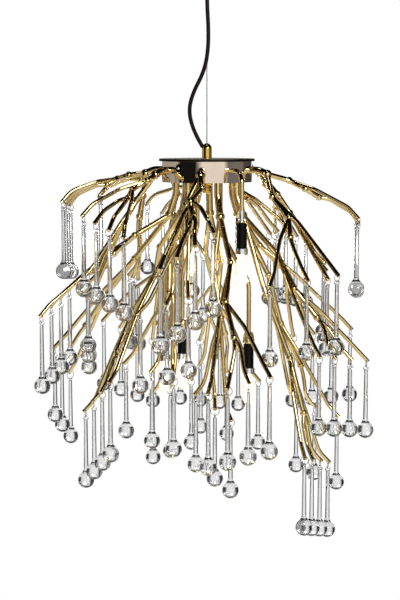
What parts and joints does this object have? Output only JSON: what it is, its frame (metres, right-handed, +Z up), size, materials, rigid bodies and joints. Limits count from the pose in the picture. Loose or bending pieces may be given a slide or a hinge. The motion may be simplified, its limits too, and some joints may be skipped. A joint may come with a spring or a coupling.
{
  "type": "droplet chandelier",
  "caption": "Hanging chandelier: a drum ring on one steel wire carries forked gold arms, glass drops on wire rings at every twig tip, and capsule lamps among the arms.",
  "frame": {"origin": "middle of the ceiling plate's upper face, on the ceiling", "axes": "+Z up along the suspension wire, -Y towards the viewer of the picture, +X to the viewer's right"},
  "size_m": [0.5891, 0.5866, 1.0155],
  "materials": {
    "arm_gold": "polished pale gold plate",
    "ring_gold": "mirror champagne plate",
    "cap_brass": "polished brass",
    "bright_chrome": "bright chrome plate",
    "zinc_steel": "zinc plated",
    "wire_steel": "stranded steel",
    "ring_wire": "bright drawn wire",
    "cord_jacket": "glossy dark jacket",
    "black_plastic": "glossy black",
    "bulb_glass": "frosted, lit from inside",
    "drop_glass": "clear solid glass"
  },
  "bodies": {
    "ceiling": {"ceiling_plate": "zinc_steel", "ceiling_cup": "ring_gold", "wire_gripper": "bright_chrome", "cord_grip": "black_plastic", "suspension_wire": "wire_steel", "power_cord": "cord_jacket"},
    "frame": {"wire_cap": "cap_brass", "top_plate": "ring_gold", "ring_band": "ring_gold", "bottom_plate": "ring_gold", "finial_ball": "cap_brass", "arm_nuts": "zinc_steel", "lamp_arms": "arm_gold", "lamp_tubes": "bright_chrome", "lamp_sockets": "black_plastic", "lamp_collars": "bright_chrome", "bulbs": "bulb_glass", "hang_rings": "ring_wire", "arm_upper_1": "arm_gold", "arm_upper_2": "arm_gold", "arm_upper_3": "arm_gold", "arm_upper_4": "arm_gold", "arm_upper_5": "arm_gold", "arm_upper_6": "arm_gold", "arm_upper_7": "arm_gold", "arm_lower_1": "arm_gold", "arm_lower_2": "arm_gold", "arm_lower_3": "arm_gold", "arm_lower_4": "arm_gold", "arm_lower_5": "arm_gold", "arm_lower_6": "arm_gold", "arm_lower_7": "arm_gold"},
    "row_upper_1_outer": {"drops_upper_1_outer": "drop_glass"},
    "row_upper_1_inner": {"drops_upper_1_inner": "drop_glass"},
    "row_upper_2_outer": {"drops_upper_2_outer": "drop_glass"},
    "row_upper_2_inner": {"drops_upper_2_inner": "drop_glass"},
    "row_upper_3_outer": {"drops_upper_3_outer": "drop_glass"},
    "row_upper_3_inner": {"drops_upper_3_inner": "drop_glass"},
    "row_upper_4_outer": {"drops_upper_4_outer": "drop_glass"},
    "row_upper_4_inner": {"drops_upper_4_inner": "drop_glass"},
    "row_upper_5_outer": {"drops_upper_5_outer": "drop_glass"},
    "row_upper_5_inner": {"drops_upper_5_inner": "drop_glass"},
    "row_upper_6_outer": {"drops_upper_6_outer": "drop_glass"},
    "row_upper_6_inner": {"drops_upper_6_inner": "drop_glass"},
    "row_upper_7_outer": {"drops_upper_7_outer": "drop_glass"},
    "row_upper_7_inner": {"drops_upper_7_inner": "drop_glass"},
    "row_lower_1_outer": {"drops_lower_1_outer": "drop_glass"},
    "row_lower_1_inner": {"drops_lower_1_inner": "drop_glass"},
    "row_lower_2_outer": {"drops_lower_2_outer": "drop_glass"},
    "row_lower_2_inner": {"drops_lower_2_inner": "drop_glass"},
    "row_lower_3_outer": {"drops_lower_3_outer": "drop_glass"},
    "row_lower_3_inner": {"drops_lower_3_inner": "drop_glass"},
    "row_lower_4_outer": {"drops_lower_4_outer": "drop_glass"},
    "row_lower_4_inner": {"drops_lower_4_inner": "drop_glass"},
    "row_lower_5_outer": {"drops_lower_5_outer": "drop_glass"},
    "row_lower_5_inner": {"drops_lower_5_inner": "drop_glass"},
    "row_lower_6_outer": {"drops_lower_6_outer": "drop_glass"},
    "row_lower_6_inner": {"drops_lower_6_inner": "drop_glass"},
    "row_lower_7_outer": {"drops_lower_7_outer": "drop_glass"},
    "row_lower_7_inner": {"drops_lower_7_inner": "drop_glass"}
  },
  "joints": [
    {"name": "frame_swivel", "type": "hinge", "parent": "ceiling", "child": "frame", "pos_m": [0, 0, -0.346], "axis": [0, 0, 1], "range_deg": [-60, 60], "deforming": ["power_cord"]},
    {"name": "swing_upper_1_outer", "type": "hinge", "parent": "frame", "child": "row_upper_1_outer", "pos_m": [0.26418, -0.00784, -0.46644], "axis": [0.1207, 0.9831, -0.1374], "range_deg": [-10, 10]},
    {"name": "swing_upper_1_inner", "type": "hinge", "parent": "frame", "child": "row_upper_1_inner", "pos_m": [0.15996, -0.15393, -0.55692], "axis": [0.9789, 0.1393, 0.1495], "range_deg": [-10, 10]},
    {"name": "swing_upper_2_outer", "type": "hinge", "parent": "frame", "child": "row_upper_2_outer", "pos_m": [0.16037, 0.20018, -0.50648], "axis": [-0.5193, 0.8542, 0.0262], "range_deg": [-10, 10]},
    {"name": "swing_upper_2_inner", "type": "hinge", "parent": "frame", "child": "row_upper_2_inner", "pos_m": [0.20997, -0.0033, -0.5564], "axis": [-0.01, 0.9521, 0.3057], "range_deg": [-10, 10]},
    {"name": "swing_upper_3_outer", "type": "hinge", "parent": "frame", "child": "row_upper_3_outer", "pos_m": [-0.06999, 0.22894, -0.4732], "axis": [-0.8808, -0.0492, 0.471], "range_deg": [-10, 10]},
    {"name": "swing_upper_3_inner", "type": "hinge", "parent": "frame", "child": "row_upper_3_inner", "pos_m": [0.13254, 0.13725, -0.49452], "axis": [-0.3977, 0.8932, -0.2096], "range_deg": [-10, 10]},
    {"name": "swing_upper_4_outer", "type": "hinge", "parent": "frame", "child": "row_upper_4_outer", "pos_m": [-0.19349, 0.09188, -0.42848], "axis": [0.0799, -0.9928, 0.0889], "range_deg": [-10, 10]},
    {"name": "swing_upper_4_inner", "type": "hinge", "parent": "frame", "child": "row_upper_4_inner", "pos_m": [-0.04458, 0.17749, -0.56576], "axis": [-0.8075, -0.1879, -0.5592], "range_deg": [-10, 10]},
    {"name": "swing_upper_5_outer", "type": "hinge", "parent": "frame", "child": "row_upper_5_outer", "pos_m": [-0.24955, 0.03507, -0.43836], "axis": [-0.0347, -0.9941, 0.1028], "range_deg": [-10, 10]},
    {"name": "swing_upper_5_inner", "type": "hinge", "parent": "frame", "child": "row_upper_5_inner", "pos_m": [-0.13284, 0.08627, -0.57564], "axis": [-0.1532, -0.9672, 0.2028], "range_deg": [-10, 10]},
    {"name": "swing_upper_6_outer", "type": "hinge", "parent": "frame", "child": "row_upper_6_outer", "pos_m": [-0.16995, -0.18034, -0.4654], "axis": [0.6438, -0.7151, -0.2723], "range_deg": [-10, 10]},
    {"name": "swing_upper_6_inner", "type": "hinge", "parent": "frame", "child": "row_upper_6_inner", "pos_m": [-0.20486, -0.06656, -0.57616], "axis": [0.0588, -0.8413, 0.5373], "range_deg": [-10, 10]},
    {"name": "swing_upper_7_outer", "type": "hinge", "parent": "frame", "child": "row_upper_7_outer", "pos_m": [-0.0326, -0.25805, -0.49868], "axis": [0.7757, 0.3851, 0.5], "range_deg": [-10, 10]},
    {"name": "swing_upper_7_inner", "type": "hinge", "parent": "frame", "child": "row_upper_7_inner", "pos_m": [-0.07132, -0.1656, -0.59696], "axis": [0.9314, -0.1693, 0.3223], "range_deg": [-10, 10]},
    {"name": "swing_lower_1_outer", "type": "hinge", "parent": "frame", "child": "row_lower_1_outer", "pos_m": [0.23241, -0.10347, -0.6968], "axis": [0.7958, 0.5846, -0.1582], "range_deg": [-10, 10]},
    {"name": "swing_lower_1_inner", "type": "hinge", "parent": "frame", "child": "row_lower_1_inner", "pos_m": [0.1902, -0.08468, -0.87776], "axis": [0.4809, 0.8329, -0.274], "range_deg": [-10, 10]},
    {"name": "swing_lower_2_outer", "type": "hinge", "parent": "frame", "child": "row_lower_2_outer", "pos_m": [0.21293, 0.09704, -0.68016], "axis": [-0.8945, 0.4133, -0.1702], "range_deg": [-10, 10]},
    {"name": "swing_lower_2_inner", "type": "hinge", "parent": "frame", "child": "row_lower_2_inner", "pos_m": [0.20076, 0.04524, -0.81224], "axis": [-0.8133, 0.5322, 0.2351], "range_deg": [-10, 10]},
    {"name": "swing_lower_3_outer", "type": "hinge", "parent": "frame", "child": "row_lower_3_outer", "pos_m": [0.00632, 0.27863, -0.72332], "axis": [-0.9939, -0.0052, 0.1097], "range_deg": [-10, 10]},
    {"name": "swing_lower_3_inner", "type": "hinge", "parent": "frame", "child": "row_lower_3_inner", "pos_m": [0.04482, 0.18669, -0.77116], "axis": [-0.9536, -0.0784, 0.2907], "range_deg": [-10, 10]},
    {"name": "swing_lower_4_outer", "type": "hinge", "parent": "frame", "child": "row_lower_4_outer", "pos_m": [-0.15042, 0.20628, -0.69108], "axis": [-0.8632, -0.3348, 0.3778], "range_deg": [-10, 10]},
    {"name": "swing_lower_4_inner", "type": "hinge", "parent": "frame", "child": "row_lower_4_inner", "pos_m": [-0.06467, 0.13201, -0.78832], "axis": [-0.9048, -0.3204, -0.2807], "range_deg": [-10, 10]},
    {"name": "swing_lower_5_outer", "type": "hinge", "parent": "frame", "child": "row_lower_5_outer", "pos_m": [-0.2642, -0.03854, -0.6084], "axis": [-0.3942, -0.853, -0.342], "range_deg": [-10, 10]},
    {"name": "swing_lower_5_inner", "type": "hinge", "parent": "frame", "child": "row_lower_5_inner", "pos_m": [-0.26594, 0.08436, -0.73112], "axis": [-0.1706, -0.824, 0.5402], "range_deg": [-10, 10]},
    {"name": "swing_lower_6_outer", "type": "hinge", "parent": "frame", "child": "row_lower_6_outer", "pos_m": [-0.18576, -0.12482, -0.75868], "axis": [0.4158, -0.7172, 0.5592], "range_deg": [-10, 10]},
    {"name": "swing_lower_6_inner", "type": "hinge", "parent": "frame", "child": "row_lower_6_inner", "pos_m": [-0.10002, -0.0652, -0.72436], "axis": [0.7409, -0.6578, -0.1357], "range_deg": [-10, 10]},
    {"name": "swing_lower_7_outer", "type": "hinge", "parent": "frame", "child": "row_lower_7_outer", "pos_m": [0.05056, -0.23584, -0.71812], "axis": [0.9369, -0.1889, 0.294], "range_deg": [-10, 10]},
    {"name": "swing_lower_7_inner", "type": "hinge", "parent": "frame", "child": "row_lower_7_inner", "pos_m": [0.01037, -0.12347, -0.77636], "axis": [0.8008, -0.2146, -0.5592], "range_deg": [-10, 10]}
  ]
}
